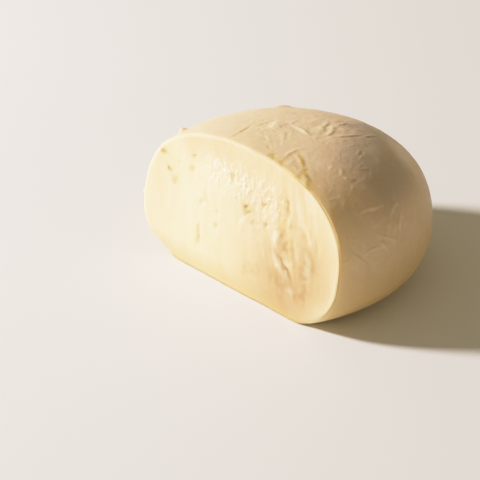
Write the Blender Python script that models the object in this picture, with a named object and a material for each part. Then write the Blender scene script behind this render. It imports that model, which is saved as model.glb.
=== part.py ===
"""Fresh mozzarella ball with one side cut away, resting on its own flattened base.

One solid: an oval, pillow-like ball of stretched-curd cheese.  Its crown is
flatter than a sphere's, its underside is pressed flat by its own weight, and
an upright slice has been taken off the front (-Y), so the pale inside shows.
Metres, +Z up.  The origin is the middle of the footprint, on the flat base.
"""

import bpy
import bmesh
import math
from mathutils import Vector

# ---------------------------------------------------------------- dimensions
LONG_R = 0.0480       # half the oval's long axis, seen from above
SHORT_R = 0.0435      # half its short axis
OVAL_TURN = 69.8      # degrees from +X to the long axis
CROWN_H = 0.0296      # from the widest girth up to the crown
GIRTH_Z = 0.0168      # height of the widest girth above the table
BELLY_DEPTH = 0.0210  # how deep the belly would hang if it weren't pressed flat
PLAN_POWER = 2.33     # 2 is an ellipse; more is squarer across
RISE_POWER = 2.50     # and squarer in height

CUT_FROM_AXIS = 0.01608  # cut face to the ball's middle, measured square to it
CUT_LEAN = 10.8          # degrees: the cut face leans back at its top
CUT_WAVE = 0.00022       # how far the knife and the curd make the face wander
FOOT_TUCK = 0.0022       # the face turns in above the table, where the curd sagged
FOOT_TUCK_H = 0.0085     # height over which it does

LUMP = 0.00022        # slow unevenness of the skin
CELLS = 28            # mesh cells along each side of the starting cube

# Folds of the skin: each runs between two points given in plan, in millimetres
# from the ball's axis.  Then its height (below 0 is a crease) and half width.
CROWN_FOLDS = (
    (-2.5, 9.0, 7.0, 7.5, 0.9, 1.7),
    (5.3, 11.0, 1.0, 20.0, 0.9, 1.7),
    (8.3, 12.0, 4.5, 22.0, 1.0, 1.7),
    (9.0, 9.5, 8.0, 22.0, -0.5, 1.6),
    (-2.0, 3.8, 6.6, -3.5, 0.5, 1.6),
    (-10.0, -8.5, -10.3, 0.0, -0.4, 1.6),
    (13.0, -4.0, 17.4, -7.0, 0.6, 1.6),
    (19.0, -6.8, 23.6, -10.6, -0.7, 1.6),
    (10.3, -7.5, 9.8, -1.0, 0.4, 1.5),
    (-9.0, 31.0, 2.0, 35.0, 0.7, 1.9),
    (-20.0, 26.0, -13.0, 37.0, -0.5, 1.9),
    (20.0, 30.0, 12.0, 37.0, 0.5, 1.9),
    (36.5, -4.0, 37.4, 7.0, 0.5, 1.6),
)
LIP_NUB = (-33.2, -7.4, 0.9, 1.9)      # torn nub at the cut edge
RIDGE_NUB = (-18.8, 22.5, 0.7, 2.6)   # rounded bump on the far shoulder


# --------------------------------------------------------------- ball shape
def skin_reach(d):
    """Distance from the ball's middle to the bare rounded form along unit d."""
    turn = math.radians(OVAL_TURN)
    along = math.cos(turn) * d.x + math.sin(turn) * d.y
    across = -math.sin(turn) * d.x + math.cos(turn) * d.y
    out = math.hypot(along / LONG_R, across / SHORT_R)
    rise = abs(d.z) / (CROWN_H if d.z > 0.0 else BELLY_DEPTH)
    near, far = 0.0, 2.0 * LONG_R
    for _ in range(48):
        reach = 0.5 * (near + far)
        if (reach * out) ** PLAN_POWER + (reach * rise) ** RISE_POWER < 1.0:
            near = reach
        else:
            far = reach
    return near


def crown_point(x_mm, y_mm):
    """The point of the rounded form over a place in plan."""
    x, y = x_mm / 1000.0, y_mm / 1000.0
    turn = math.radians(OVAL_TURN)
    along = math.cos(turn) * x + math.sin(turn) * y
    across = -math.sin(turn) * x + math.cos(turn) * y
    out = min(math.hypot(along / LONG_R, across / SHORT_R), 1.0)
    rise = (1.0 - out ** PLAN_POWER) ** (1.0 / RISE_POWER)
    return Vector((x, y, CROWN_H * rise))


def distance_to_run(p, a, b):
    """Distance from p to the straight run from a to b."""
    ab = b - a
    t = max(0.0, min(1.0, (p - a).dot(ab) / ab.length_squared))
    return (p - (a + ab * t)).length


FOLD_RUNS = [
    (crown_point(x0, y0), crown_point(x1, y1), h / 1000.0, w / 1000.0)
    for x0, y0, x1, y1, h, w in CROWN_FOLDS
]
NUBS = [
    (crown_point(x, y), h / 1000.0, w / 1000.0) for x, y, h, w in (LIP_NUB, RIDGE_NUB)
]


def skin_relief(p):
    """Height of folds, nubs and slow lumps at a point of the rounded form."""
    relief = LUMP * (
        math.sin(95.0 * p.x + 60.0 * p.z + 0.6) * math.sin(80.0 * p.y - 1.1)
        + 0.7 * math.sin(150.0 * p.y + 70.0 * p.x + 2.0) * math.sin(140.0 * p.z + 0.4)
    )
    for a, b, height, half in FOLD_RUNS:
        away = distance_to_run(p, a, b) / half
        if away < 3.0:
            relief += height * math.exp(-away * away)
    for at, height, half in NUBS:
        away = (p - at).length / half
        if away < 3.0:
            relief += height * math.exp(-away * away)
    return relief


def ball_vertex(direction):
    """Place one mesh point, measured from the ball's middle."""
    d = direction.normalized()
    reach = skin_reach(d)
    reach += skin_relief(d * reach)
    return d * reach


def press_flat(bm):
    """Take off what would hang below the table, and close it with a flat base."""
    everything = bm.verts[:] + bm.edges[:] + bm.faces[:]
    bmesh.ops.bisect_plane(
        bm, geom=everything, dist=0.0002, plane_co=(0.0, 0.0, 0.0),
        plane_no=(0.0, 0.0, -1.0), clear_outer=True,
    )
    rim = [e for e in bm.edges if e.is_boundary]
    for e in rim:
        for v in e.verts:
            v.co.z = 0.0
    base = bmesh.ops.contextual_create(bm, geom=rim)["faces"]
    bmesh.ops.poke(bm, faces=base)
    bmesh.ops.remove_doubles(bm, verts=bm.verts[:], dist=0.0001)


def build_ball(collection, material):
    """A cube of even cells, swelled out to the ball's form."""
    bm = bmesh.new()
    bmesh.ops.create_cube(bm, size=2.0)
    bmesh.ops.subdivide_edges(bm, edges=bm.edges[:], cuts=CELLS - 1, use_grid_fill=True)
    spread = math.pi / 4.0
    for v in bm.verts:
        # equal angles rather than equal steps keep the cells the same size
        v.co = ball_vertex(Vector([math.tan(spread * c) for c in v.co]))
        v.co.z += GIRTH_Z
    press_flat(bm)
    bmesh.ops.recalc_face_normals(bm, faces=bm.faces[:])
    mesh = bpy.data.meshes.new("mozzarella_ball")
    bm.to_mesh(mesh)
    bm.free()
    mesh.shade_smooth()
    mesh.materials.append(material)
    ball = bpy.data.objects.new("mozzarella_ball", mesh)
    collection.objects.link(ball)
    return ball


# ----------------------------------------------------------------- cut face
def face_relief(across, height):
    """How far the cut face stands out of (+) or behind (-) its flat plane."""
    wave = CUT_WAVE * (
        math.sin(240.0 * across + 40.0 * height)
        + 0.6 * math.sin(430.0 * across - 90.0 * height + 1.3)
        + 0.5 * math.sin(120.0 * height + 55.0 * across + 0.7)
    )
    tuck = 0.0
    if height < FOOT_TUCK_H:
        t = 1.0 - max(height, 0.0) / FOOT_TUCK_H
        tuck = FOOT_TUCK * t * t * (3.0 - 2.0 * t)
    return wave - tuck


def build_knife(collection):
    """The block of cheese that was taken away: its back is the cut face."""
    width, drop, depth, cell = 0.120, 0.080, 0.070, 0.0030
    bm = bmesh.new()
    bmesh.ops.create_grid(
        bm, x_segments=int(width / cell), y_segments=int(drop / cell), size=0.5
    )
    face = bm.faces[:]
    made = bmesh.ops.extrude_face_region(bm, geom=face)
    far_side = [g for g in made["geom"] if isinstance(g, bmesh.types.BMVert)]
    lean = math.radians(CUT_LEAN)
    outward = Vector((0.0, -math.cos(lean), math.sin(lean)))
    upward = Vector((0.0, math.sin(lean), math.cos(lean)))
    middle = Vector((0.0, 0.0, GIRTH_Z)) + outward * CUT_FROM_AXIS
    far = set(far_side)
    for v in bm.verts:
        across, up = v.co.x * width, v.co.y * drop
        flat = middle + Vector((across, 0.0, 0.0)) + upward * up
        if v in far:
            v.co = flat + outward * depth
        else:
            v.co = flat + outward * face_relief(flat.x, flat.z)
    bmesh.ops.recalc_face_normals(bm, faces=bm.faces[:])
    mesh = bpy.data.meshes.new("knife")
    bm.to_mesh(mesh)
    bm.free()
    knife = bpy.data.objects.new("knife", mesh)
    collection.objects.link(knife)
    knife.hide_render = True
    knife.display_type = "WIRE"
    return knife


# ----------------------------------------------------------------- material
def curd_material():
    material = bpy.data.materials.new("mozzarella_curd")
    material.use_nodes = True
    shader = material.node_tree.nodes["Principled BSDF"]
    shader.inputs["Base Color"].default_value = (0.86, 0.74, 0.52, 1.0)
    shader.inputs["Roughness"].default_value = 0.42
    shader.inputs["Metallic"].default_value = 0.0
    return material


# ----------------------------------------------------------------- assembly
def main():
    for leftover in list(bpy.data.objects):
        bpy.data.objects.remove(leftover, do_unlink=True)

    parts = bpy.data.collections.new("mozzarella_ball")
    cutters = bpy.data.collections.new("cutters")
    for collection in (parts, cutters):
        bpy.context.scene.collection.children.link(collection)

    ball = build_ball(parts, curd_material())
    knife = build_knife(cutters)

    cut = ball.modifiers.new("slice_taken_off", "BOOLEAN")
    cut.operation = "DIFFERENCE"
    cut.solver = "EXACT"
    cut.object = knife
    tidy = ball.modifiers.new("close_slivers", "WELD")
    tidy.merge_threshold = 0.0001

    # Slide both so that the footprint's middle, at table height, is the origin.
    bpy.context.view_layer.update()
    whole = ball.evaluated_get(bpy.context.evaluated_depsgraph_get()).to_mesh()
    low = [min(v.co[i] for v in whole.vertices) for i in range(3)]
    high = [max(v.co[i] for v in whole.vertices) for i in range(3)]
    shift = Vector((-(low[0] + high[0]) / 2.0, -(low[1] + high[1]) / 2.0, -low[2]))
    for thing in (ball, knife):
        thing.location = shift
    bpy.context.view_layer.update()


main()
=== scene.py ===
"""Looks of the cut mozzarella ball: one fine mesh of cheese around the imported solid."""

import math

import bpy
import numpy as np
from mathutils import Matrix, Vector


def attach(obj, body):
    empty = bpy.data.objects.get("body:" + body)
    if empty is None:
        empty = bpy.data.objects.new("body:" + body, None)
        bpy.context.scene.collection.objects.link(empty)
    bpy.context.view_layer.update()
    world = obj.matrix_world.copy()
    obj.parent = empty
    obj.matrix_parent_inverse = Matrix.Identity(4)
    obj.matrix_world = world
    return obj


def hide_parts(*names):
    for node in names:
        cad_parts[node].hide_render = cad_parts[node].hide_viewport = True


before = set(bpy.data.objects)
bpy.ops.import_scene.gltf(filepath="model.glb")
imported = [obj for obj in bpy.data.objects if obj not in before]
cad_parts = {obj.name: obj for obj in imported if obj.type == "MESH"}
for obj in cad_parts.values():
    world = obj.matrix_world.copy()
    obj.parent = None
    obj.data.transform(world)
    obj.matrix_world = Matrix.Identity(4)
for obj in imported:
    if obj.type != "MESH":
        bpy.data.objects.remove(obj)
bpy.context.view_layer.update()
NODE = "mozzarella_ball"

# --------------------------------------------------------------- the ball's form
# Millimetres from the ball's own upright axis, z up from the table.  These are the
# CAD's own dimensions, and AXIS is where the ball's axis stands in the row frame.
LONG_R, SHORT_R, OVAL_TURN = 48.0, 43.5, math.radians(69.8)
CROWN_H, GIRTH_Z, BELLY = 29.6, 16.8, 21.0
PLAN_POWER, RISE_POWER = 2.33, 2.50
CUT, LEAN = 16.08, math.radians(10.8)
TUCK, TUCK_H = 2.2, 8.5
AXIS = np.array([-0.139, -14.550, 0.0])

MIDDLE = np.array([0.0, 0.0, GIRTH_Z])
OUT = np.array([0.0, -math.cos(LEAN), math.sin(LEAN)])  # out of the cut face
ALONG = np.array([1.0, 0.0, 0.0])
UPWARD = np.array([0.0, math.sin(LEAN), math.cos(LEAN)])


def unit(v):
    return v / np.linalg.norm(v, axis=-1, keepdims=True)


def smooth(t):
    t = np.clip(t, 0.0, 1.0)
    return t * t * (3.0 - 2.0 * t)


class Noise:
    """Gradient noise in space, about -1 to 1, the same on every run."""

    def __init__(self, seed, n=24):
        rng = np.random.default_rng(seed)
        self.n = n
        self.g = unit(rng.normal(size=(n, n, n, 3)))

    def __call__(self, p, size, stretch=(1.0, 1.0, 1.0)):
        q = np.asarray(p) / (size * np.asarray(stretch)) + 100.0
        cell = np.floor(q).astype(int)
        f = q - cell
        s = f * f * f * (f * (f * 6.0 - 15.0) + 10.0)
        total = 0.0
        for dx in (0, 1):
            wx = s[..., 0] if dx else 1.0 - s[..., 0]
            for dy in (0, 1):
                wy = s[..., 1] if dy else 1.0 - s[..., 1]
                for dz in (0, 1):
                    wz = s[..., 2] if dz else 1.0 - s[..., 2]
                    g = self.g[
                        (cell[..., 0] + dx) % self.n,
                        (cell[..., 1] + dy) % self.n,
                        (cell[..., 2] + dz) % self.n,
                    ]
                    d = f - np.array([dx, dy, dz])
                    total = total + wx * wy * wz * (g * d).sum(-1)
        return total * 1.6

    def fbm(self, p, size, octaves=3, stretch=(1.0, 1.0, 1.0)):
        total, amp, norm = 0.0, 1.0, 0.0
        for k in range(octaves):
            total = total + amp * self(p + 17.3 * k, size / 2.0**k, stretch)
            norm += amp
            amp *= 0.5
        return total / norm


def skin_reach(d):
    """Distance from MIDDLE to the bare form along unit directions, table included."""
    c, s = math.cos(OVAL_TURN), math.sin(OVAL_TURN)
    out = np.hypot((c * d[..., 0] + s * d[..., 1]) / LONG_R, (-s * d[..., 0] + c * d[..., 1]) / SHORT_R)
    rise = np.abs(d[..., 2]) / np.where(d[..., 2] > 0.0, CROWN_H, BELLY)
    near, far = np.zeros(out.shape), np.full(out.shape, 100.0)
    for _ in range(44):
        mid = 0.5 * (near + far)
        inside = (mid * out) ** PLAN_POWER + (mid * rise) ** RISE_POWER < 1.0
        near, far = np.where(inside, mid, near), np.where(inside, far, mid)
    table = np.where(d[..., 2] < -1e-6, GIRTH_Z / np.maximum(-d[..., 2], 1e-6), 1e3)
    blend = 1.6
    close = np.maximum(blend - np.abs(near - table), 0.0) / blend
    return np.minimum(near, table) - close * close * blend / 4.0


def tuck(z):
    return TUCK * smooth(1.0 - z / TUCK_H)


def beyond_cut(p):
    """Above 0 on the side of the cut face that was taken away."""
    return (p - MIDDLE) @ OUT - CUT + tuck(p[..., 2])


def direction(theta, phi):
    """Directions counted from the back of the ball, opposite the cut face."""
    ring = np.cos(phi)[..., None] * ALONG + np.sin(phi)[..., None] * UPWARD
    return -OUT * np.cos(theta)[..., None] + ring * np.sin(theta)[..., None]


# --------------------------------------------------------------------- the grid
NX, NY = 190, 110  # cells across the cut face
BX, BY = 165, 135  # cells over the back
RIM = 2 * (NX + NY)
RINGS = 88


def edge_theta(phi):
    low, high = np.full(phi.shape, 0.6), np.full(phi.shape, 2.75)
    for _ in range(40):
        mid = 0.5 * (low + high)
        d = direction(mid, phi)
        inside = beyond_cut(MIDDLE + d * skin_reach(d)[..., None]) < 0.0
        low, high = np.where(inside, mid, low), np.where(inside, high, mid)
    return 0.5 * (low + high)


def even_phi():
    """Angles round the cut edge, spaced evenly along it but wider apart at the foot."""
    phi = np.linspace(-math.pi, math.pi, 4001)
    th = edge_theta(phi)
    d = direction(th, phi)
    p = MIDDLE + d * skin_reach(d)[..., None]
    weight = 0.42 + 0.58 * smooth((p[1:, 2] - 1.5) / 7.0)
    step = np.linalg.norm(np.diff(p, axis=0), axis=1) * weight
    run = np.concatenate([[0.0], np.cumsum(step)])
    at = np.arange(RIM) * run[-1] / RIM
    return np.interp(at, run, phi)


def patch(loop, nx, ny, start):
    """Fill a closed loop of 2D points with an nx by ny grid: grid points, then index of loop points."""
    order = (np.arange(RIM) + start) % RIM
    pts = loop[order]
    grid = np.zeros((ny + 1, nx + 1, 2))
    index = np.full((ny + 1, nx + 1), -1)
    for k in range(nx):
        grid[0, k], index[0, k] = pts[k], order[k]
        grid[ny, nx - k], index[ny, nx - k] = pts[nx + ny + k], order[nx + ny + k]
    for k in range(ny):
        grid[k, nx], index[k, nx] = pts[nx + k], order[nx + k]
        grid[ny - k, 0], index[ny - k, 0] = pts[2 * nx + ny + k], order[2 * nx + ny + k]
    u = np.linspace(0.0, 1.0, nx + 1)[None, :, None]
    v = np.linspace(0.0, 1.0, ny + 1)[:, None, None]
    coons = (
        (1 - v) * grid[0][None] + v * grid[ny][None]
        + (1 - u) * grid[:, 0][:, None] + u * grid[:, nx][:, None]
        - (1 - u) * (1 - v) * grid[0, 0] - u * (1 - v) * grid[0, nx]
        - (1 - u) * v * grid[ny, 0] - u * v * grid[ny, nx]
    )
    grid[1:ny, 1:nx] = coons[1:ny, 1:nx]
    for _ in range(700):  # relax the inside, so that the cells even out
        grid[1:-1, 1:-1] += 0.9 * (
            0.25 * (grid[:-2, 1:-1] + grid[2:, 1:-1] + grid[1:-1, :-2] + grid[1:-1, 2:])
            - grid[1:-1, 1:-1]
        )
    return grid, index


def quads_of(index, flip):
    q = np.stack([index[:-1, :-1], index[:-1, 1:], index[1:, 1:], index[1:, :-1]], -1).reshape(-1, 4)
    return q[:, ::-1] if flip else q


def build_grid():
    phi = even_phi()
    theta = edge_theta(phi)
    # the start of each patch's long side: half a long side left of the foot's middle
    foot = int(np.argmin(np.abs(phi + math.pi / 2)))
    points, faces = [], []

    # skin rings, from the edge (ring 0) inwards to the back patch
    steps = np.linspace(0.0, 1.0, RINGS + 1)
    share = 1.0 - 0.55 * (0.75 * steps + 0.25 * steps**2)
    rings = np.arange((RINGS + 1) * RIM).reshape(RINGS + 1, RIM)
    th = theta[None, :] * share[:, None]
    d = direction(th, np.broadcast_to(phi, th.shape))
    points.append((MIDDLE + d * skin_reach(d)[..., None]).reshape(-1, 3))
    a, b = rings, np.roll(rings, -1, axis=1)
    faces.append(np.stack([a[:-1], a[1:], b[1:], b[:-1]], -1).reshape(-1, 4))
    n = rings.size

    # the back patch, in the plane of angles from the back
    flat = np.stack([th[-1] * np.cos(phi), th[-1] * np.sin(phi)], -1)
    grid, index = patch(flat, BX, BY, (foot - BX // 2) % RIM)
    index = np.where(index >= 0, rings[-1][index], -1)
    inner = index < 0
    index[inner] = n + np.arange(inner.sum())
    g = grid[inner]
    d = direction(np.linalg.norm(g, axis=-1), np.arctan2(g[:, 1], g[:, 0]))
    points.append(MIDDLE + d * skin_reach(d)[..., None])
    n += inner.sum()
    faces.append(quads_of(index, True))

    # the cut face, in its own plane
    rim = points[0][:RIM]
    flat = np.stack([(rim - MIDDLE) @ ALONG, (rim - MIDDLE) @ UPWARD], -1)
    grid, index = patch(flat, NX, NY, (foot - NX // 2) % RIM)
    inner = index < 0
    index[inner] = n + np.arange(inner.sum())
    g = grid[inner]
    p = MIDDLE + OUT * CUT + g[:, :1] * ALONG + g[:, 1:] * UPWARD
    for _ in range(12):
        p = p + np.array([0.0, 1.0, 0.0]) * (beyond_cut(p) / -OUT[1])[:, None]
    points.append(p)
    face_first = n
    faces.append(quads_of(index, False))
    return np.concatenate(points), faces, face_first


def vertex_normals(p, faces, count):
    n = np.zeros((count, 3))
    for q in faces:
        a, b, c, d = (p[q[:, k]] for k in range(4))
        f = np.cross(c - a, d - b)
        for k in range(4):
            np.add.at(n, q[:, k], f)
    return n / np.maximum(np.linalg.norm(n, axis=1, keepdims=True), 1e-12)


def distance_to_path(p, path, up):
    """Distance to a path, below 0 on its left; and how far along it (0 to 1) the nearest place is."""
    path = np.asarray(path, float)
    seg = np.linalg.norm(np.diff(path, axis=0), axis=1)
    total, run = max(seg.sum(), 1e-9), 0.0
    best, where = np.full(len(p), 1e9), np.zeros(len(p))
    for a, b, length in zip(path[:-1], path[1:], seg):
        ab = b - a
        t = np.clip(((p - a) @ ab) / max(ab @ ab, 1e-12), 0.0, 1.0)
        off = p - (a + t[:, None] * ab)
        side = np.where((off * np.cross(ab, up)).sum(1) < 0.0, -1.0, 1.0)
        d = np.linalg.norm(off, axis=1)
        closer = d < np.abs(best)
        best = np.where(closer, d * side, best)
        where = np.where(closer, (run + t * length) / total, where)
        run += length
    return best, where


def rounded(path, turns=2):
    """The same path with its corners cut, so that it bends like a fold."""
    path = np.asarray(path, float)
    for _ in range(turns):
        if len(path) < 3:
            break
        a, b = path[:-1], path[1:]
        mid = np.stack([0.75 * a + 0.25 * b, 0.25 * a + 0.75 * b], 1).reshape(-1, path.shape[1])
        path = np.concatenate([path[:1], mid[1:-1], path[-1:]])
    return path


def strokes(p, up, table, wobble, taper=0.28, stain_and_shade=3.0):
    """Summed relief of ridges (height above 0) and creases (below 0); then where creases run, the mask for stain
    with painted crease shade, and where crests run, the mask for painted crest highlights.
    """
    total, creased, crest = np.zeros(len(p)), np.zeros(len(p)), np.zeros(len(p))
    for height, half, *path in table:
        path = rounded(path)
        reach = 3.6 * half
        low, high = path.min(0) - reach, path.max(0) + reach
        near = np.nonzero(((p > low) & (p < high)).all(1))[0]
        if not len(near):
            continue
        d, t = distance_to_path(p[near], path, up[near])
        # the line swells and thins as it goes
        s = d / (half * (1.0 + 0.25 * wobble[near]))
        fade = smooth(np.minimum(t, 1.0 - t) / taper) * 0.8 + 0.2
        fade = fade * (1.0 + 0.8 * wobble[near])
        if height > 0:
            # a fold: its crest, and the crease that it throws on one side
            shape = np.exp(-s * s) - 0.25 * np.exp(-(((s - 1.8) / 0.9) ** 2))
            crest[near] = np.maximum(crest[near], fade * np.exp(-s * s) * min(height * 2.5, 1.0))
        else:
            shape = np.exp(-np.abs(s) ** 1.7) - 0.28 * np.exp(-(((s + 1.9) / 0.9) ** 2))
            depth = min(-height * stain_and_shade, 1.0)
            creased[near] = np.maximum(creased[near], fade * np.exp(-((s / 1.15) ** 2)) * depth)
        total[near] += height * shape * fade
    return total, creased, crest


def fold_lines(field, width):
    """Thin crests, each with a crease beside it, wherever a noise field passes through 0."""
    return np.exp(-((field / width) ** 2)) - 0.45 * np.exp(-(((field - 2.1 * width) / (1.3 * width)) ** 2))


# Folds that show on the skin: height and half width in mm, then places on the ball.
SKIN_FOLDS = [
    (0.36, 0.55, (-2.5, 9.0, 46.1), (-0.4, 8.6, 46.2), (2.9, 8.2, 46.2), (6.9, 7.5, 46.1)),
    (0.16, 0.44, (7.5, 7.8, 46.0), (8.6, 7.8, 45.9), (8.5, 9.2, 45.9)),
    (0.21, 0.80, (6.3, 10.3, 45.8), (5.0, 14.2, 45.6), (2.6, 18.8, 44.9), (0.4, 21.8, 44.3)),
    (0.19, 0.65, (9.1, 11.5, 45.5), (8.2, 14.6, 45.3), (6.6, 17.6, 44.9), (5.1, 21.3, 44.3)),
    (0.15, 0.45, (5.6, 21.8, 44.2), (4.3, 25.0, 43.5), (5.6, 25.4, 43.3)),
    (0.17, 0.38, (7.4, 20.3, 44.5), (9.4, 19.5, 44.4)),
    (-0.04, 0.50, (8.9, 8.8, 45.9), (9.8, 12.6, 45.5), (8.9, 17.4, 44.9), (8.0, 22.0, 44.1)),
    (0.17, 0.38, (10.6, 12.7, 45.4), (12.1, 16.6, 44.6), (13.1, 23.1, 43.1)),
    (0.20, 0.38, (14.0, 23.0, 43.0), (14.0, 25.6, 42.2), (13.8, 28.7, 41.2)),
    (-0.12, 0.38, (14.2, 14.0, 44.7), (15.2, 16.4, 44.2)),
    (0.05, 0.50, (-2.0, 3.8, 46.4), (0.8, 1.9, 46.4), (3.7, -0.6, 46.4), (6.6, -3.5, 46.2)),
    (-0.06, 0.45, (-1.0, 4.8, 46.4), (1.1, 3.1, 46.4), (3.5, 1.0, 46.4)),
    (0.26, 1.30, (-7.3, 7.9, 46.0), (-5.5, 5.3, 46.2), (-3.7, 3.0, 46.3)),
    (-0.20, 0.38, (-9.8, -8.9, 45.8), (-9.8, -5.7, 46.0), (-10.1, -2.4, 46.0), (-10.5, 0.0, 46.0)),
    (-0.20, 0.38, (-9.3, 0.6, 46.1), (-9.2, 3.4, 46.0), (-8.5, 5.7, 46.0), (-7.9, 8.5, 45.9)),
    (0.13, 0.38, (-3.4, 8.6, 46.1), (-3.8, 11.1, 45.9), (-3.5, 13.4, 45.7)),
    (0.12, 0.55, (10.2, -7.8, 45.7), (9.8, -6.0, 45.9), (9.5, -3.6, 46.0), (9.9, -1.1, 46.0), (11.5, 2.3, 45.9)),
    (0.09, 0.70, (11.4, -3.0, 45.8), (13.3, -3.9, 45.6), (15.8, -5.4, 45.1), (17.4, -7.0, 44.7)),
    (-0.04, 0.70, (11.1, -0.8, 45.9), (13.8, -3.2, 45.5), (16.3, -4.7, 45.0), (18.5, -6.3, 44.5),
     (20.4, -7.2, 43.9), (22.4, -8.4, 43.2), (23.7, -10.2, 42.5), (23.3, -11.2, 42.5)),
    (0.09, 1.05, (18.7, -8.0, 44.3), (20.7, -8.7, 43.7), (22.4, -9.9, 42.9)),
    (-0.03, 0.70, (18.0, -10.9, 44.1), (17.8, -9.5, 44.3), (17.9, -8.0, 44.5), (18.2, -6.6, 44.5)),
    (0.08, 0.50, (11.9, -8.1, 45.5), (12.9, -7.0, 45.4), (14.3, -6.4, 45.3), (16.4, -6.8, 44.9)),
    (-0.03, 0.38, (13.7, -7.8, 45.3), (14.5, -7.0, 45.2), (15.5, -6.8, 45.0)),
    (-0.14, 1.15, (6.5, -7.6, 46.0), (8.3, -9.2, 45.8)),
    (-0.12, 1.15, (10.8, -9.0, 45.6), (12.6, -10.0, 45.2)),
    (-0.15, 0.38, (2.1, -5.6, 46.3), (3.5, -6.7, 46.2)),
    (-0.08, 0.44, (-6.1, -0.1, 46.3), (-3.2, -2.1, 46.4), (0.1, -4.1, 46.4)),
    (0.10, 0.44, (19.0, 14.9, 43.7), (20.4, 14.3, 43.4), (21.3, 12.5, 43.4)),
    (-0.08, 0.38, (19.5, 16.6, 43.2), (21.7, 13.8, 43.1), (22.6, 10.7, 43.2)),
    (0.10, 0.42, (23.8, 2.6, 43.3), (25.6, 1.1, 42.7)),
    (-0.04, 0.42, (21.5, 3.3, 44.0), (24.0, 0.7, 43.3)),
    (0.09, 0.42, (26.7, 1.7, 42.3), (27.6, 0.9, 41.9)),
    (0.13, 0.38, (29.5, 1.0, 41.0), (30.9, 0.1, 40.3)),
    (-0.12, 0.38, (28.8, 1.9, 41.4), (29.2, 3.7, 41.2)),
    (0.09, 0.42, (21.1, 1.6, 44.1), (22.8, -1.4, 43.6)),
    (0.11, 0.38, (25.4, 10.7, 42.3), (26.8, 10.0, 41.8)),
    (0.08, 0.38, (25.9, 7.6, 42.4), (27.0, 10.7, 41.6)),
    (0.10, 0.38, (26.3, -5.8, 42.1), (27.5, -3.4, 41.8)),
    (0.32, 0.45, (36.3, -4.2, 36.1), (36.5, -1.9, 36.2), (36.9, 1.1, 36.0), (37.2, 4.1, 35.7), (37.3, 6.6, 35.5)),
    (0.32, 0.50, (39.2, 7.1, 33.2), (38.2, 9.7, 34.1), (37.9, 11.6, 34.0), (38.4, 12.3, 33.1)),
    (0.34, 0.50, (38.6, 11.7, 33.1), (40.4, 10.2, 30.8), (41.8, 8.4, 28.7), (42.8, 7.3, 26.2)),
    (-0.12, 0.38, (40.0, 9.3, 31.7), (41.7, 7.6, 29.0), (42.8, 5.6, 26.6)),
    (0.13, 0.38, (21.0, 25.7, 40.4), (24.9, 24.9, 39.1), (28.6, 24.0, 37.5), (30.9, 22.8, 36.5)),
    (0.15, 0.38, (29.0, 26.2, 36.1), (31.3, 26.5, 34.2), (33.5, 26.4, 32.0)),
    (-0.16, 0.42, (39.7, -11.0, 29.6), (40.9, -9.8, 27.6), (42.1, -7.7, 25.2), (43.2, -4.6, 22.4)),
    (0.19, 0.38, (40.4, -10.9, 28.2), (41.6, -9.2, 26.0), (42.8, -6.6, 23.4)),
    (0.19, 0.38, (39.5, -10.4, 30.3), (40.6, -8.6, 29.0)),
    (0.24, 0.45, (42.1, -6.8, 25.9), (42.1, -5.2, 26.9), (42.4, -2.9, 27.0), (43.0, 0.7, 26.1)),
    (0.30, 0.45, (41.7, 0.3, 29.4), (42.3, 2.2, 28.2), (43.0, 6.3, 25.8)),
    (-0.12, 0.38, (41.3, 0.7, 30.3), (42.2, 3.1, 28.4), (42.8, 5.6, 26.5)),
    (0.28, 0.45, (42.3, -0.4, 27.9), (42.9, 0.8, 26.3), (43.4, 2.4, 24.5)),
    (-0.10, 0.38, (42.1, -0.2, 28.4), (42.4, -2.1, 27.3), (42.0, -4.6, 27.6)),
]

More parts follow.
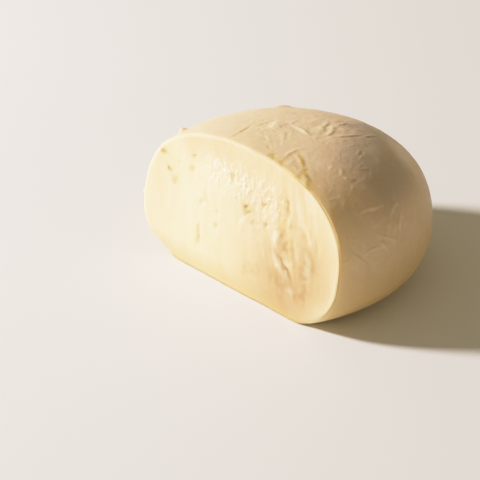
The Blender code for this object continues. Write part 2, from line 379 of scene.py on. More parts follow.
# Pits, grooves and strands of the cut face: height, half width, then (x, z) on the face.
FACE_MARKS = [
    (-0.40, 1.35, (-35.9, 32.0), (-34.4, 34.0)),
    (-0.28, 0.75, (-33.5, 29.0), (-32.1, 28.7), (-30.6, 28.0)),
    (-0.28, 0.95, (-22.3, 37.0), (-22.0, 35.0)),
    (-0.26, 0.95, (-22.1, 33.2), (-21.9, 30.7)),
    (-0.26, 0.95, (-28.2, 27.3), (-29.3, 25.6), (-30.0, 24.4)),
    (-0.26, 1.05, (-28.2, 32.2), (-28.5, 31.4)),
    (-0.45, 0.84, (-15.6, 26.4), (-15.6, 25.1)),
    (-0.32, 0.84, (-16.5, 24.1), (-17.8, 21.7)),
    (-0.50, 1.20, (1.2, 29.4), (1.6, 28.0)),
    (-0.42, 1.05, (1.9, 27.8), (3.3, 27.1)),
    (-0.57, 0.95, (4.4, 25.6), (5.4, 24.7)),
    (-0.45, 0.84, (8.2, 32.0), (9.2, 31.2)),
    (-0.45, 0.84, (9.6, 26.9), (10.7, 25.5)),
    (-0.28, 0.63, (-16.6, 17.3), (-16.6, 14.4), (-16.5, 11.8), (-16.2, 9.6)),
    (-0.26, 0.84, (-9.7, 22.8), (-9.9, 21.5)),
    (-0.26, 0.84, (-9.5, 19.4), (-10.0, 17.2)),
    (-0.26, 0.84, (-5.6, 36.4), (-5.0, 33.8)),
    (-0.55, 0.48, (15.9, 20.2), (17.9, 18.2), (19.9, 16.4), (22.7, 14.7)),
    (0.34, 1.00, (14.1, 18.6), (16.1, 16.8), (18.5, 15.2), (20.4, 13.8)),
    (0.37, 0.84, (18.1, 21.7), (19.7, 19.8), (21.3, 17.6), (22.5, 15.9)),
    (-0.22, 0.84, (16.6, 28.0), (17.2, 25.5), (17.7, 22.0)),
    (-0.37, 0.84, (17.5, 29.0), (19.0, 27.4), (19.1, 24.9), (19.2, 22.4), (20.3, 18.5)),
    (0.45, 0.95, (15.2, 26.2), (14.9, 23.3), (14.9, 21.1)),
    (0.37, 0.84, (18.8, 32.9), (19.7, 30.4), (19.2, 28.4)),
    (-0.40, 0.84, (17.2, 38.3), (17.7, 35.7), (18.6, 32.9), (19.6, 30.0)),
    (-0.17, 0.95, (23.2, 31.1), (25.3, 28.5), (27.5, 25.7), (29.2, 23.2)),
    (0.16, 1.10, (24.5, 32.5), (26.6, 30.3), (28.4, 27.2), (29.7, 24.7)),
    (-0.17, 0.95, (29.8, 30.3), (30.7, 27.3), (31.1, 23.4)),
    (0.16, 1.10, (21.5, 27.1), (22.9, 24.5), (24.3, 21.3), (26.1, 18.3)),
    (-0.17, 0.95, (20.6, 25.5), (22.1, 22.3), (23.9, 19.3)),
    (-0.18, 1.20, (28.8, 14.7), (28.7, 11.4)),
    (0.17, 1.05, (20.5, 9.4), (23.2, 10.2), (25.9, 11.2)),
    (0.20, 1.05, (19.5, 16.3), (20.6, 14.8), (20.2, 12.8)),
    (-0.27, 0.95, (14.4, 15.2), (15.3, 12.4), (15.4, 9.5)),
    (0.20, 0.95, (-9.1, 29.1), (-6.4, 28.8)),
    (0.20, 0.95, (10.4, 29.7), (9.8, 28.2)),
    (0.20, 0.84, (9.8, 37.0), (12.3, 36.9), (13.6, 36.2)),
    (0.20, 0.84, (2.1, 26.9), (1.0, 23.6), (0.2, 20.8)),
]

# Where whey has gathered and yellowed, with painted shade in the creases that it fills: strength, half width, then
# places as above.
SKIN_STAINS_AND_SHADE = [
    (0.60, 1.15, (6.2, -7.6, 46.0), (7.4, -8.4, 45.9), (8.4, -9.9, 45.7)),
    (0.55, 0.85, (9.9, -8.1, 45.7), (11.5, -9.6, 45.4), (12.9, -10.6, 45.1)),
    (0.38, 0.42, (10.6, -8.3, 45.6), (10.8, -5.9, 45.7), (10.7, -3.6, 45.8), (11.1, -1.9, 45.8), (11.6, 0.0, 45.8), (11.9, 2.2, 45.7)),
    (0.90, 0.50, (11.4, -1.9, 45.8), (13.6, -3.4, 45.5), (15.4, -5.1, 45.1), (17.4, -6.2, 44.7), (18.8, -7.4, 44.4),
     (20.7, -8.3, 43.8), (22.6, -9.1, 43.2), (23.7, -10.1, 42.7), (24.3, -11.7, 42.3)),
    (0.80, 0.95, (20.7, -8.3, 43.8), (22.6, -9.1, 43.2), (23.7, -10.1, 42.7), (24.3, -11.7, 42.3)),
    (0.80, 0.52, (19.2, -7.5, 44.2), (18.8, -9.2, 44.2), (18.7, -10.5, 44.0), (18.9, -11.5, 43.9)),
    (0.65, 0.80, (18.7, -9.8, 44.1), (18.9, -11.5, 43.9)),
    (0.45, 0.35, (13.8, -8.5, 45.2), (14.8, -7.4, 45.1), (16.0, -7.3, 44.9), (17.3, -7.9, 44.6)),
    (0.40, 0.32, (-9.8, -8.9, 45.8), (-9.8, -5.7, 46.0), (-10.1, -2.4, 46.0), (-10.5, 0.0, 46.0)),
    (0.30, 0.35, (-9.3, 0.6, 46.1), (-9.2, 3.4, 46.0), (-8.5, 5.7, 46.0)),
    (0.25, 0.50, (-0.6, 4.3, 46.4), (1.5, 2.6, 46.4), (3.5, 1.0, 46.4)),
    (0.35, 0.50, (2.2, -5.5, 46.3), (3.5, -6.7, 46.2)),
]
# Painted highlights on fold crests, and a painted rim light along the upper right outline: the same.
SKIN_PAINTED_LIGHTS = [
    (0.40, 3.50, (13.0, 35.0, 37.8), (19.5, 31.5, 38.3), (26.0, 28.2, 37.0), (30.5, 26.0, 34.8)),
    (0.26, 0.60, (-0.4, 8.6, 46.2), (2.9, 8.2, 46.2), (6.9, 7.5, 46.1)),
    (0.34, 0.75, (6.3, 10.3, 45.8), (5.0, 14.2, 45.6), (2.6, 18.8, 44.9), (0.4, 21.8, 44.3)),
    (0.34, 0.65, (9.1, 11.5, 45.5), (8.2, 14.6, 45.3), (6.6, 17.6, 44.9), (5.1, 21.3, 44.3)),
    (0.24, 3.2, (14.0, -0.5, 45.4), (18.0, -2.0, 44.8), (22.0, -2.5, 43.9)),
    (0.26, 0.50, (11.3, -3.0, 45.8), (13.7, -4.8, 45.4), (15.9, -6.0, 45.0), (17.8, -7.3, 44.6)),
    (0.40, 0.60, (19.5, -9.2, 44.0), (21.0, -9.8, 43.5), (22.6, -11.0, 42.9)),
    (0.26, 0.45, (10.1, -7.0, 45.7), (9.5, -4.9, 45.8), (9.3, -2.8, 45.9), (9.7, -1.4, 45.9)),
]
# The same on the cut face: yellowed pits and grooves, with painted shade in them.
FACE_STAINS_AND_SHADE = [
    (0.85, 1.70, (0.6, 29.2), (2.0, 28.2), (3.2, 26.8)),
    (0.65, 1.40, (4.6, 26.1), (5.4, 24.5)),
    (0.55, 0.88, (8.6, 32.2), (9.3, 30.9)),
    (0.47, 0.81, (9.4, 26.8), (10.2, 24.9)),
    (0.50, 1.20, (17.0, 38.8), (17.6, 36.5), (18.2, 34.2), (19.0, 31.8), (20.0, 29.6), (20.5, 27.6)),
    (0.24, 0.94, (20.0, 34.2), (20.4, 31.0), (21.6, 29.0)),
    (0.40, 1.10, (17.0, 28.4), (17.4, 25.6), (17.9, 22.8), (18.8, 20.2)),
    (0.45, 1.00, (19.2, 24.6), (19.9, 22.7), (19.6, 20.1), (20.0, 18.3)),
    (0.85, 0.45, (15.7, 20.1), (17.0, 18.9), (18.4, 17.7), (20.4, 16.3), (21.8, 15.0), (22.6, 14.1)),
    (0.35, 1.49, (26.1, 26.4), (28.1, 24.7), (29.6, 22.8), (30.4, 21.2), (30.5, 18.5)),
    (0.27, 1.35, (25.2, 20.7), (26.2, 17.7), (27.2, 14.6)),
    (0.27, 1.62, (28.0, 14.7), (29.1, 13.2), (28.7, 11.2)),
    (0.22, 1.08, (-9.5, 19.7), (-9.6, 17.4)),
    (0.55, 0.75, (-17.0, 16.5), (-16.6, 13.4), (-16.2, 9.7)),
    (0.31, 0.94, (-15.7, 26.0), (-16.0, 23.7)),
    (0.28, 2.20, (2.5, 9.6), (6.4, 10.2), (10.7, 11.6)),
    (0.30, 1.60, (20.4, 27.0), (20.6, 24.5), (20.9, 21.5)),
    (0.52, 1.50, (26.2, 21.5), (27.6, 18.9), (28.6, 15.4)),
    (0.12, 4.00, (22.5, 31.0), (25.0, 25.0), (26.5, 18.0)),
    (0.34, 2.00, (18.6, 16.2), (18.0, 13.0), (17.2, 9.6)),
    (0.30, 1.60, (21.5, 13.0), (20.6, 10.6), (20.0, 8.6)),
    (0.42, 1.90, (24.0, 9.8), (27.4, 10.4), (29.6, 10.8)),
    (0.16, 2.20, (-3.8, 29.6), (0.6, 31.6), (3.2, 30.2)),
    (0.23, 0.81, (-5.4, 36.4), (-5.1, 34.0)),
    (0.14, 1.62, (13.6, 14.9), (14.9, 12.5), (15.0, 9.7)),
    (0.23, 1.08, (22.5, 30.5), (24.9, 28.4), (27.0, 26.1)),
    (0.55, 1.62, (-35.9, 32.0), (-34.4, 34.2)),
    (0.43, 0.81, (-33.5, 29.0), (-32.1, 28.7), (-30.6, 28.0)),
    (0.47, 1.08, (-22.3, 36.8), (-22.0, 35.0)),
    (0.39, 1.08, (-22.1, 33.0), (-21.9, 30.9)),
    (0.35, 1.08, (-28.2, 27.3), (-29.3, 25.6), (-30.0, 24.4)),
]


def on_skin(path):
    d = unit(np.asarray(path, float) - MIDDLE)
    return MIDDLE + d * skin_reach(d)[..., None]


def around(bearing, rise):
    """The unit direction at a bearing and a rise in degrees, and its east and north."""
    b, r = math.radians(bearing), math.radians(rise)
    at = np.array([math.cos(r) * math.cos(b), math.cos(r) * math.sin(b), math.sin(r)])
    east = unit(np.cross([0.0, 0.0, 1.0], at))
    return at, east, np.cross(at, east)


def far_side_folds():
    """Folds for the sides turned away: short ones in rumpled groups, and a few long thin creases."""
    rng = np.random.default_rng(41)
    made = []
    groups = [  # bearing and rise in degrees, spread, how many, length in mm, height
        (118, 17, 9, 9, 6.5, 0.20), (158, 20, 11, 7, 7.0, 0.17), (200, 16, 7, 5, 5.0, 0.14),
        (88, 0, 10, 6, 7.0, 0.15), (140, -6, 12, 6, 6.0, 0.14), (184, -2, 9, 4, 5.0, 0.13),
    ]
    for bearing, rise, spread, count, length, tall in groups:
        heading = rng.uniform(0, math.pi)
        for _ in range(count):
            at, east, north = around(bearing + rng.normal() * spread, rise + rng.normal() * spread * 0.6)
            turn = heading + rng.normal() * 0.55
            step = (math.cos(turn) * east + math.sin(turn) * north) * length * rng.uniform(0.5, 1.2) / 40.0
            side = np.cross(at, step)
            bend = rng.normal() * 0.3
            path = [at - step, at - 0.4 * step + side * bend, at + step * 0.4 + side * bend * 0.7, at + step]
            height = tall * rng.uniform(0.6, 1.2) * (1.0 if rng.uniform() < 0.65 else -0.8)
            made.append((height, rng.uniform(0.45, 0.7), *on_skin([MIDDLE + 40.0 * q for q in path])))
    for bearing, rise, heading, length in (
        (168, 24, 0.3, 22), (103, 8, 1.2, 22), (135, 10, 2.4, 22), (187, 10, 1.4, 18), (125, 24, 0.2, 18),
    ):
        at, east, north = around(bearing, rise)
        path = []
        for t in np.linspace(-0.5, 0.5, 7):
            sway = 0.05 * math.sin(5.0 * t + heading * 3.0)
            path.append(at + (math.cos(heading) * east + math.sin(heading) * north) * t * length / 40.0
                        + (-math.sin(heading) * east + math.cos(heading) * north) * sway)
        made.append((0.11, 0.42, *on_skin([MIDDLE + 40.0 * q for q in path])))
    return made


# Where the skin is crumpled: a place on it, the patch's radius in mm, and how strongly.
CRUMPLED = [
    ((4.0, 17.0, 44.8), 9.0, 0.55), ((12.0, 13.0, 45.2), 6.0, 0.3), ((24.0, 9.0, 43.0), 9.0, 0.2),
    ((16.0, -6.0, 45.0), 6.5, 0.15), ((40.0, 5.0, 32.0), 9.0, 0.45), ((41.0, -8.0, 27.0), 7.0, 0.35),
    ((-4.0, 4.0, 46.3), 8.0, 0.35), ((-30.0, 24.0, 30.0), 11.0, 0.5), ((-12.0, 39.0, 28.0), 10.0, 0.45),
    ((-41.0, 6.0, 20.0), 11.0, 0.4), ((-10.0, 44.0, 12.0), 12.0, 0.5), ((22.0, 40.0, 10.0), 10.0, 0.4),
]

# Bumps that break the outline: a place, the height and the radius in mm.
NUBS = [
    ((-32.6, -8.4, 39.8), 1.0, 1.1), ((-33.4, -7.6, 39.2), 0.4, 1.6), ((-18.8, 22.4, 41.2), 0.75, 2.4),
    ((-19.2, 19.6, 41.9), 0.35, 1.8), ((-42.4, -15.9, 17.6), 0.75, 0.9), ((-36.6, -13.0, 35.0), 0.45, 1.8),
]


# ------------------------------------------------------------------- the cheese
def make_cheese():
    p, faces, face_first = build_grid()
    count = len(p)
    rim = np.arange(RIM)
    up = vertex_normals(p, faces[:2], count)  # the rim's come from the skin alone
    is_face = np.zeros(count)
    is_face[face_first:] = 1.0
    is_face[rim] = 0.5

    # distance from each point to the cut edge
    edge = p[rim]
    to_edge = np.full(count, 99.0)
    ids = np.nonzero(np.abs(beyond_cut(p)) < 9.0)[0]
    for block in np.array_split(ids, max(1, len(ids) // 4000)):
        d = np.linalg.norm(p[block][:, None, :] - edge[None, ::2, :], axis=2)
        to_edge[block] = d.min(1)
    to_edge[rim] = 0.0

    n1, n2, n3, n4 = Noise(11), Noise(23), Noise(37), Noise(53)
    warp = np.stack([n1(p, 3.4), n2(p, 3.4), n3(p, 3.4)], -1) * 0.40
    warp += np.stack([n2(p, 1.3), n3(p, 1.3), n1(p, 1.3)], -1) * 0.16
    wobble = n4(p, 1.9)
    lift = np.zeros(count)

    # ---- skin
    ps, us = p[:face_first], up[:face_first]
    ws = warp[:face_first]
    folds = [(h, w, *on_skin(path)) for h, w, *path in SKIN_FOLDS] + far_side_folds()
    relief, creased, crest = strokes(ps + ws, us, folds, wobble[:face_first], stain_and_shade=1.4)
    stain_and_shade_paths = [(-h, w, *on_skin(path)) for h, w, *path in SKIN_STAINS_AND_SHADE]
    creased = np.maximum(creased, strokes(ps + ws, us, stain_and_shade_paths, wobble[:face_first], taper=0.12, stain_and_shade=1.0)[1])
    lights = [(h, w, *on_skin(path)) for h, w, *path in SKIN_PAINTED_LIGHTS]
    crest = np.maximum(crest, strokes(ps + ws, us, lights, wobble[:face_first])[2])
    # creases that cross don't dig deeper than one does
    relief = np.where(relief < 0.0, 0.20 * np.tanh(relief / 0.20), 0.50 * np.tanh(relief / 0.50))
    crumple = np.zeros(len(ps))
    for place, radius, strength in CRUMPLED:
        far = np.linalg.norm(ps - on_skin([place])[0], axis=1) / radius
        crumple = np.maximum(crumple, strength * np.exp(-(far**2)))
    broken = smooth(0.45 + 1.5 * n2.fbm(ps, 5.0, 2))
    bent = ps + 3.0 * ws
    lines = fold_lines(n1.fbm(bent, 6.5, 2), 0.085) * broken
    lines += 0.7 * fold_lines(n3.fbm(bent, 4.6, 2), 0.10) * (1.0 - broken)
    patchy = smooth(0.5 + 1.6 * n3.fbm(ps, 13.0, 2))
    relief = (
        relief
        + 0.28 * n4.fbm(ps, 26.0, 2)
        + lines * (0.035 + 0.20 * crumple)
        + 0.05 * n2.fbm(ps, 2.6, 3) * (0.5 + 0.6 * patchy + crumple)
        + 0.07 * n1.fbm(ps, 7.0, 2)
    )
    for place, height, radius in NUBS:
        far = np.linalg.norm(ps + 0.5 * ws - on_skin([place])[0], axis=1) / radius
        relief += height * np.exp(-far * far)
    lift[:face_first] = relief * smooth((ps[:, 2] - 0.4) / 3.0)  # smooth where it lies on the table

    # ---- cut face
    fc = np.arange(face_first, count)
    both = np.concatenate([rim, fc])
    pf, ef, wf = p[both], to_edge[both], warp[both]
    x, z = pf[:, 0], pf[:, 2]
    flat = np.stack([x + 1.3 * wf[:, 0], np.zeros(len(x)), z + 1.3 * wf[:, 2]], -1)
    front = np.broadcast_to([0.0, -1.0, 0.0], flat.shape)
    marks = [(h, w, *[(a, 0.0, b) for a, b in path]) for h, w, *path in FACE_MARKS]
    marked, pitted, raised = strokes(flat, front, marks, wobble[both], taper=0.35, stain_and_shade=0.5)
    marked = marked * (1.0 - 0.35 * smooth((x - 8.0) / 6.0))
    stain_and_shade_paths = [(-h, w, *[(a, 0.0, b) for a, b in path]) for h, w, *path in FACE_STAINS_AND_SHADE]
    pitted = np.maximum(pitted, strokes(flat, front, stain_and_shade_paths, wobble[both], taper=0.15, stain_and_shade=1.0)[1])
    right = smooth((x - 4.0) / 12.0) * (1.0 - 0.55 * smooth((x - 24.0) / 8.0))
    right = right * (0.15 + 0.85 * smooth((z - 10.0) / 10.0))
    middle = np.exp(-(((x + 0.5) / 16.0) ** 4) - ((z - 34.3 + 0.05 * x) / 4.8) ** 2)
    middle = np.maximum(middle, 0.45 * np.exp(-(((x - 8.0) / 7.0) ** 2) - ((z - 28.0) / 6.0) ** 2))
    # the strands run down and to the right, most steeply on the right
    slant = 0.22 + 0.30 * np.exp(-(((x - 0.9 * (26.0 - z) - 9.0) / 8.0) ** 2))
    across = x + slant * (z - 20.0) + 1.1 * n1(pf, 12.0)
    flow = np.stack([across, np.zeros(len(x)), z], -1)
    strand = n2.fbm(flow, 3.3, 3, stretch=(1.0, 1.0, 5.0))
    coarse = n3(flow + 31.0, 5.0, stretch=(1.0, 1.0, 4.0))
    upright = np.stack([x + 0.06 * z + 0.5 * wf[:, 0], np.zeros(len(x)), z], -1)
    flake = n4.fbm(upright, 1.3, 2, stretch=(1.0, 1.0, 1.5))
    face_relief = (
        marked
        + strand * (0.03 + 0.13 * right + 0.04 * middle)
        + coarse * (0.05 + 0.15 * right)
        + np.maximum(flake, 0.0) * (0.03 + 0.75 * middle)
        + 0.045 * n1.fbm(pf, 1.9, 2) * (0.5 + middle)
        + 0.16 * n3.fbm(pf, 15.0, 2)
        + 0.06 * n2.fbm(pf, 5.0, 2)
    )
    keep = smooth(ef / 1.8)
    lip = 0.05 * np.exp(-(((ef - 0.9) / 0.6) ** 2)) * smooth((z - 6.0) / 8.0)
    face_relief = (face_relief * (0.2 + 0.8 * keep) + lip) * smooth((z - 0.2) / 2.5)
    along = np.stack([x, np.zeros(len(x)), np.zeros(len(x))], -1)
    face_relief += (0.30 * n3(along + 3.0, 11.0) + 0.12 * n1(along, 3.5)) * np.exp(-z / 2.0)

    # the knife leaves a corner that is a little rounded
    soft = 0.26 * np.exp(-to_edge / 0.5) * smooth((p[:, 2] - 0.3) / 1.5)
    moved = p.copy()
    moved[:face_first] += us * (lift[:face_first] - soft[:face_first])[:, None]
    moved[rim] += OUT * (face_relief[:RIM] - soft[rim])[:, None]
    moved[fc] += OUT * (face_relief[RIM:] - soft[fc])[:, None]
    moved[:, 2] = np.maximum(moved[:, 2], 0.0)

    # ---- what the finish follows
    def spread(skin_values, face_values):
        out = np.zeros(count)
        out[:face_first] = skin_values
        out[rim] = np.maximum(out[rim], face_values[:RIM])
        out[fc] = face_values[RIM:]
        return out

    none = np.zeros(face_first)
    drift = 5.0 * n4.fbm(pf, 16.0, 2)
    # the cut face turns yellower and darker towards the right and along its top, most at the lower right; the
    # change to the right is partly the curd's own tone, partly painted shade
    low_right_tone_and_shade = smooth((x + 2.0 + 0.6 * drift) / 24.0) * smooth((33.0 - z + 0.6 * drift) / 20.0)
    upper = np.maximum(smooth((x + 14.0 + drift) / 40.0), 0.8 * smooth((z - 33.0 + 0.5 * drift) / 9.0))
    upper = np.maximum(upper, 0.35 * smooth((-x - 22.0) / 14.0))
    # painted shade: the crown's upper right, past the crumpled folds, is painted darker where grazing light leaves
    # it in shade
    painted_crown_shade = smooth((p[:, 0] + 0.5 * p[:, 1] - 14.0) / 14.0) * smooth((p[:, 1] + 1.5) / 12.0) * smooth((p[:, 2] - 30.0) / 8.0)
    painted_crown_shade = painted_crown_shade * (1.0 - 0.9 * smooth((p[:, 1] - 22.0) / 10.0))
    painted_shade_behind_folds = smooth((p[:, 0] - 1.5) / 5.0) * smooth((p[:, 1] - 19.5) / 5.0) * smooth((p[:, 2] - 38.5) / 3.0)
    painted_crown_shade = np.maximum(painted_crown_shade, painted_shade_behind_folds)
    upper = upper + 0.28 * np.exp(-(((x - 2.0) / np.where(x > 2.0, 7.0, 12.0)) ** 2)) * smooth((32.0 - z) / 4.0)
    streak = n1.fbm(flow + 57.0, 1.9, 2, stretch=(1.0, 1.0, 7.0))
    masks = {
        "inside": is_face,
        # yellowed stain, and painted shade in the creases, pits and grooves
        "crease": spread(creased, pitted),
        # painted highlight: a paler line along the cut face's rim, where the rounded edge catches the light
        "edge": np.exp(-((to_edge / 1.2) ** 2)) * np.clip(0.6 + 0.9 * n2.fbm(p, 9.0, 2), 0.0, 1.0),
        # painted glow: the skin beside the cut edge is painted golden, like light coming through the cut, mostly on
        # the shaded right
        "painted_edge_glow": np.exp(-to_edge / 3.2) * (0.12 + 0.88 * smooth((p[:, 0] - 4.0) / 22.0)),
        # painted shade on the crown's upper right
        "painted_crown_shade": painted_crown_shade,
        # wet gloss, and painted glints: the wet specks are also painted near white
        "wet_and_painted_glint": spread(none, smooth((flake - 0.12) * 4.0) * middle),
        "glint": spread(none, middle),
        # painted highlight on the raised ridges of the cut
        "raised": spread(none, raised),
        "strand": spread(none, (0.7 * strand + 0.5 * coarse + 0.55 * streak) * (0.3 + 0.7 * right)),
        "low_right_tone_and_shade": spread(none, low_right_tone_and_shade * (1.0 - np.exp(-ef / 7.0) * smooth((x - 21.0) / 9.0))),
        "upper": spread(none, upper * (1.0 - 0.75 * np.exp(-ef / 7.0) * smooth((x - 21.0) / 9.0))),
        # painted highlight: fold crests, crumple lines and the listed light paths are painted paler
        "painted_crest_highlight": spread(np.maximum(np.maximum(lines, 0.0) * (0.3 + crumple), crest), np.zeros(len(both))),
        "crumple": spread(crumple, np.zeros(len(both))),
        # painted shade: the lower skin and the cut face's foot are painted darker towards the table
        "foot": smooth(1.0 - p[:, 2] / np.where(is_face > 0.4, 9.0, 34.0)),
    }
    return (moved + AXIS) / 1000.0, faces, masks


def mesh_object(name, points, faces, masks):
    quads = np.concatenate(faces)
    mesh = bpy.data.meshes.new(name)
    mesh.vertices.add(len(points))
    mesh.vertices.foreach_set("co", points.astype(np.float32).ravel())
    mesh.loops.add(quads.size)
    mesh.loops.foreach_set("vertex_index", quads.astype(np.int32).ravel())
    mesh.polygons.add(len(quads))
    mesh.polygons.foreach_set("loop_start", np.arange(0, quads.size, 4, dtype=np.int32))
    mesh.polygons.foreach_set("loop_total", np.full(len(quads), 4, dtype=np.int32))
    mesh.update(calc_edges=True)
    mesh.validate()
    mesh.shade_smooth()
    for key, values in masks.items():
        layer = mesh.attributes.new(key, "FLOAT", "POINT")
        layer.data.foreach_set("value", values.astype(np.float32))
    ob = bpy.data.objects.new(name, mesh)
    bpy.context.scene.collection.objects.link(ob)
    return ob


# -------------------------------------------------------------------- materials
class Tree:
    def __init__(self, material):
        material.use_nodes = True
        self.t = material.node_tree
        self.bsdf = next(n for n in self.t.nodes if n.type == "BSDF_PRINCIPLED")

    def node(self, kind, **props):
        n = self.t.nodes.new(kind)
        for k, v in props.items():
            setattr(n, k, v)
        return n

    def link(self, a, b):
        self.t.links.new(a, b)

    def attribute(self, name):
        return self.node("ShaderNodeAttribute", attribute_name=name).outputs["Fac"]

    def noise(self, vector, scale, detail=3.0, rough=0.5, distort=0.0, kind="FBM"):
        n = self.node("ShaderNodeTexNoise", noise_type=kind)
        n.inputs["Scale"].default_value = scale
        n.inputs["Detail"].default_value = detail
        n.inputs["Roughness"].default_value = rough
        n.inputs["Distortion"].default_value = distort
        self.link(vector, n.inputs["Vector"])
        return n.outputs["Fac"]

    def stretched(self, vector, scale):
        n = self.node("ShaderNodeMapping")
        n.inputs["Scale"].default_value = scale
        self.link(vector, n.inputs["Vector"])
        return n.outputs["Vector"]

    def warped(self, vector, scale, amount):
        """The vector pushed about by a coloured noise, by up to amount in metres."""
        push = self.node("ShaderNodeTexNoise")
        push.inputs["Scale"].default_value = scale
        self.link(vector, push.inputs["Vector"])
        n = self.node("ShaderNodeVectorMath", operation="MULTIPLY_ADD")
        self.link(push.outputs["Color"], n.inputs[0])
        n.inputs[1].default_value = (amount, amount, amount)
        self.link(vector, n.inputs[2])
        return n.outputs["Vector"]

    def ramp(self, fac, low, high, to=(0.0, 1.0)):
        n = self.node("ShaderNodeMapRange", clamp=True)
        n.inputs["From Min"].default_value, n.inputs["From Max"].default_value = low, high
        n.inputs["To Min"].default_value, n.inputs["To Max"].default_value = to
        self.link(fac, n.inputs["Value"])
        return n.outputs["Result"]

    def math(self, op, a, b=None):
        n = self.node("ShaderNodeMath", operation=op)
        for k, v in enumerate((a, b)):
            if v is None:
                continue
            if isinstance(v, (int, float)):
                n.inputs[k].default_value = v
            else:
                self.link(v, n.inputs[k])
        return n.outputs[0]

    def mix(self, fac, a, b, blend="MIX"):
        n = self.node("ShaderNodeMix", data_type="RGBA", blend_type=blend)
        for socket, v in ((n.inputs[0], fac), (n.inputs[6], a), (n.inputs[7], b)):
            if isinstance(v, (int, float)):
                socket.default_value = v
            elif isinstance(v, tuple):
                socket.default_value = (*v, 1.0)
            else:
                self.link(v, socket)
        return n.outputs[2]


def cheese_material():
    m = bpy.data.materials.new("fresh_curd")
    t = Tree(m)
    where = t.node("ShaderNodeTexCoord").outputs["Object"]
    inside, crease = t.attribute("inside"), t.attribute("crease")
    near, edge = t.attribute("painted_edge_glow"), t.attribute("edge")
    wet_and_painted_glint, strand, glint = t.attribute("wet_and_painted_glint"), t.attribute("strand"), t.attribute("glint")
    low_right_tone_and_shade, upper = t.attribute("low_right_tone_and_shade"), t.attribute("upper")
    painted_crest_highlight, foot, painted_crown_shade = t.attribute("painted_crest_highlight"), t.attribute("foot"), t.attribute("painted_crown_shade")

    broad = t.noise(where, 38.0, 3.0, 0.55)
    fine = t.noise(where, 190.0, 4.0, 0.6, 0.4)
    grain = t.noise(where, 900.0, 3.0, 0.6)
    speck = t.noise(t.stretched(where, (1.0, 1.0, 0.6)), 800.0, 2.0, 0.5)
    # painted glints: pale specks over the wet middle of the cut
    pale = t.math("MULTIPLY", t.ramp(speck, 0.53, 0.66), glint)
    dull = t.math("MULTIPLY", t.ramp(speck, 0.47, 0.34), glint)

    skin = t.mix(t.ramp(broad, 0.35, 0.68), (0.735, 0.57, 0.385), (0.795, 0.64, 0.455))
    skin = t.mix(t.ramp(fine, 0.45, 0.75, (0.0, 0.30)), skin, (0.665, 0.495, 0.30))
    # painted highlight on the fold crests
    skin = t.mix(t.math("MULTIPLY", painted_crest_highlight, 0.55), skin, (0.91, 0.79, 0.60))
    # painted shade on the crown's upper right
    skin = t.mix(t.math("MULTIPLY", painted_crown_shade, 0.85), skin, (0.50, 0.41, 0.315))
    # painted shade, darker towards the table
    skin = t.mix(t.math("MULTIPLY", foot, 0.78), skin, (0.565, 0.38, 0.09))
    # painted glow beside the cut edge
    skin = t.mix(t.math("MULTIPLY", near, 0.9), skin, (0.93, 0.745, 0.365))
    # yellowed stain and painted shade in the creases
    skin = t.mix(crease, skin, (0.62, 0.455, 0.13))

    curd = t.mix(t.ramp(broad, 0.35, 0.68), (0.895, 0.74, 0.465), (0.905, 0.765, 0.52))
    # partly the curd's own tone, partly painted shade to the right
    curd = t.mix(upper, curd, (0.78, 0.545, 0.325))
    # partly the curd's own tone, partly painted shade at the lower right
    curd = t.mix(low_right_tone_and_shade, curd, (0.55, 0.35, 0.18))
    curd = t.mix(t.ramp(strand, 0.0, -0.5, (0.0, 0.6)), curd, (0.76, 0.52, 0.27))
    curd = t.mix(t.ramp(strand, 0.05, 0.5, (0.0, 0.4)), curd, (0.93, 0.82, 0.61))
    # painted highlight: the raised ridges of the cut are painted paler
    curd = t.mix(t.math("MULTIPLY", t.attribute("raised"), 0.6), curd, (0.93, 0.82, 0.61))
    curd = t.mix(t.math("MULTIPLY", dull, 0.3), curd, (0.86, 0.62, 0.38))
    # stain and painted shade in the face's pits and grooves
    curd = t.mix(crease, curd, (0.54, 0.50, 0.29), "MULTIPLY")
    # painted glints on the wet and pale specks
    curd = t.mix(t.math("MULTIPLY", t.math("MAXIMUM", wet_and_painted_glint, pale), 0.65), curd, (0.965, 0.91, 0.80))
    # painted highlight along the rim of the cut
    curd = t.mix(t.math("MULTIPLY", edge, 0.35), curd, (0.93, 0.80, 0.56))
    # painted shade at the cut face's foot
    curd = t.mix(t.math("MULTIPLY", foot, 0.55), curd, (0.68, 0.46, 0.20))
    t.link(t.mix(inside, skin, curd), t.bsdf.inputs["Base Color"])

    rough = t.ramp(fine, 0.3, 0.7, (0.42, 0.58))
    rough = t.math("SUBTRACT", rough, t.math("MULTIPLY", wet_and_painted_glint, 0.26))
    rough = t.math("SUBTRACT", rough, t.math("MULTIPLY", painted_crest_highlight, 0.12))
    t.link(rough, t.bsdf.inputs["Roughness"])

    # fine relief: puckers where the skin is crumpled, threads on the cut, and a grain all over
    pucker = t.noise(t.warped(where, 260.0, 0.0016), 210.0, 3.0, 0.55, kind="RIDGED_MULTIFRACTAL")
    pucker = t.math("MULTIPLY", pucker, t.ramp(t.attribute("crumple"), 0.05, 0.9, (0.05, 0.55)))
    thread = t.noise(t.stretched(where, (1.0, 1.0, 0.22)), 620.0, 3.0, 0.6)
    thread = t.math("MULTIPLY", thread, t.math("MULTIPLY", inside, 0.28))
    relief = t.math("ADD", t.math("MULTIPLY", fine, 0.45), t.math("MULTIPLY", grain, 0.2))
    relief = t.math("ADD", t.math("ADD", relief, pucker), thread)
    relief = t.math("ADD", relief, t.math("MULTIPLY", pale, 0.9))
    bump = t.node("ShaderNodeBump")
    bump.inputs["Strength"].default_value = 0.5
    bump.inputs["Distance"].default_value = 0.0005
    t.link(relief, bump.inputs["Height"])
    t.link(bump.outputs["Normal"], t.bsdf.inputs["Normal"])

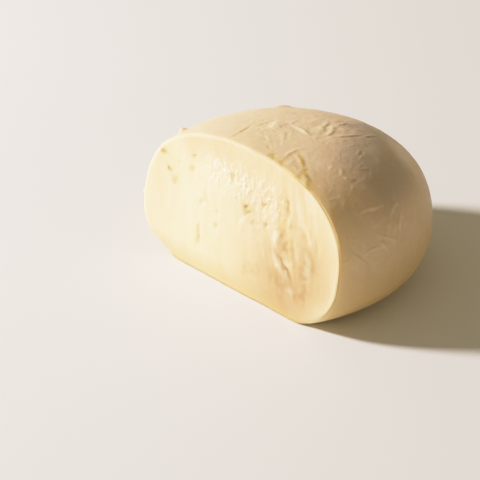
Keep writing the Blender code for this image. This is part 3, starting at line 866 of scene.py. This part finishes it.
    b = t.bsdf.inputs
    b["Subsurface Weight"].default_value = 0.6
    b["Subsurface Radius"].default_value = (1.0, 0.62, 0.26)
    b["Subsurface Scale"].default_value = 0.0018
    b["IOR"].default_value = 1.42
    b["Specular IOR Level"].default_value = 0.45
    # whey standing on the torn middle of the cut
    t.link(t.math("MULTIPLY", t.math("MAXIMUM", wet_and_painted_glint, pale), 0.5), b["Coat Weight"])
    b["Coat Roughness"].default_value = 0.16
    return m


def floor_material():
    m = bpy.data.materials.new("pale_floor")
    t = Tree(m)
    where = t.node("ShaderNodeTexCoord").outputs["Object"]
    tone = t.ramp(t.noise(where, 6.0, 4.0), 0.3, 0.7)
    t.link(t.mix(tone, (0.80, 0.83, 0.87), (0.82, 0.85, 0.89)), t.bsdf.inputs["Base Color"])
    t.bsdf.inputs["Roughness"].default_value = 0.85
    t.bsdf.inputs["Specular IOR Level"].default_value = 0.2
    return m


# ------------------------------------------------------------------------ stage
def aim(ob, at, from_where):
    ob.location = from_where
    ob.rotation_euler = (Vector(at) - Vector(from_where)).to_track_quat("-Z", "Y").to_euler()


def build_stage():
    floor = bpy.data.meshes.new("floor")
    s = 1.1
    floor.from_pydata([(-s, -s, 0), (s, -s, 0), (s, s, 0), (-s, s, 0)], [], [(0, 1, 2, 3)])
    ob = bpy.data.objects.new("floor", floor)
    ob.location.z = -0.00005
    floor.materials.append(floor_material())
    bpy.context.scene.collection.objects.link(ob)

    centre = Vector(((MIDDLE + AXIS) / 1000.0).tolist())

    # key light: from the camera's left, raised, warm
    def lamp(name, azimuth, elevation, distance, size, power, colour):
        data = bpy.data.lights.new(name, "AREA")
        data.shape = "DISK"
        data.size = size
        data.energy = power
        data.color = colour
        lamp_ob = bpy.data.objects.new(name, data)
        a, e = math.radians(azimuth), math.radians(elevation)
        away = Vector((math.cos(a) * math.cos(e), math.sin(a) * math.cos(e), math.sin(e))) * distance
        aim(lamp_ob, centre, centre + away)
        bpy.context.scene.collection.objects.link(lamp_ob)

    lamp("bounce", 35.0, 6.0, 0.9, 0.7, 0.48, (1.0, 0.84, 0.58))
    lamp("key", 218.0, 27.0, 1.3, 0.20, 31.0, (1.0, 0.885, 0.84))

    world = bpy.data.worlds.new("studio")
    bpy.context.scene.world = world
    world.use_nodes = True
    tree = world.node_tree
    glow = tree.nodes["Background"]
    glow.inputs["Color"].default_value = (1.0, 0.79, 0.465, 1.0)
    glow.inputs["Strength"].default_value = 0.30
    # what shines in the skin is the pale room round the stage, brighter than its fill
    sheen = tree.nodes.new("ShaderNodeBackground")
    sheen.inputs["Color"].default_value = (1.0, 0.88, 0.66, 1.0)
    sheen.inputs["Strength"].default_value = 0.80
    room = tree.nodes.new("ShaderNodeBackground")
    room.inputs["Color"].default_value = (0.80, 0.775, 0.74, 1.0)
    seen, both = tree.nodes.new("ShaderNodeLightPath"), tree.nodes.new("ShaderNodeMixShader")
    shone = tree.nodes.new("ShaderNodeMixShader")
    tree.links.new(seen.outputs["Is Glossy Ray"], shone.inputs[0])
    tree.links.new(glow.outputs[0], shone.inputs[1])
    tree.links.new(sheen.outputs[0], shone.inputs[2])
    tree.links.new(seen.outputs["Is Camera Ray"], both.inputs[0])
    tree.links.new(shone.outputs[0], both.inputs[1])
    tree.links.new(room.outputs[0], both.inputs[2])
    tree.links.new(both.outputs[0], tree.nodes["World Output"].inputs["Surface"])


def build_camera():
    azimuth, elevation, distance, focal = 45.05, 30.0, 0.576, 1897.6
    seen_at = (276.65, 222.87)  # where the ball's middle falls, of 480 by 480
    a, e = math.radians(azimuth), math.radians(elevation)
    back = Vector((math.sin(a) * math.cos(e), -math.cos(a) * math.cos(e), math.sin(e)))
    right = Vector((math.cos(a), math.sin(a), 0.0))
    up = back.cross(right)
    # aim a little off the ball, so that it falls where it should with no lens shift
    ray = Vector((seen_at[0] - 240.0, 240.0 - seen_at[1], -focal)).normalized()
    turn = ray.rotation_difference(Vector((0.0, 0.0, -1.0)))
    basis = Matrix((right, up, back)).transposed() @ turn.to_matrix()
    data = bpy.data.cameras.new("camera")
    data.sensor_width = 36.0
    data.lens = focal * 36.0 / 480.0
    data.clip_start, data.clip_end = 0.01, 20.0
    ob = bpy.data.objects.new("camera", data)
    centre = Vector(((MIDDLE + AXIS) / 1000.0).tolist())
    ob.matrix_world = Matrix.Translation(centre + back * distance) @ basis.to_4x4()
    bpy.context.scene.collection.objects.link(ob)
    bpy.context.scene.camera = ob


def develop():
    """A plain picture, whose brightest tones roll off as a photograph's do."""
    view = bpy.context.scene.view_settings
    view.view_transform = "Standard"
    view.look = "None"
    view.use_curve_mapping = True
    curves, top, knee = view.curve_mapping, 2.5, 0.5
    curves.white_level = (top, top, top)
    curve = curves.curves[3]
    curve.points[0].location, curve.points[1].location = (0.0, 0.0), (1.0, 1.0)
    for x in (0.15, 0.35, 0.5, 0.6, 0.75, 0.9, 1.1, 1.35, 1.7, 2.1):
        y = x if x <= knee else knee + (1.0 - knee) * (1.0 - math.exp(-(x - knee) / (1.0 - knee)))
        curve.points.new(x / top, y)
    curves.update()


def main():
    points, faces, masks = make_cheese()
    cheese = mesh_object("cheese", points, faces, masks)
    cheese.data.materials.append(cheese_material())
    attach(cheese, "root")
    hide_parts(NODE)
    build_stage()
    build_camera()
    develop()


main()
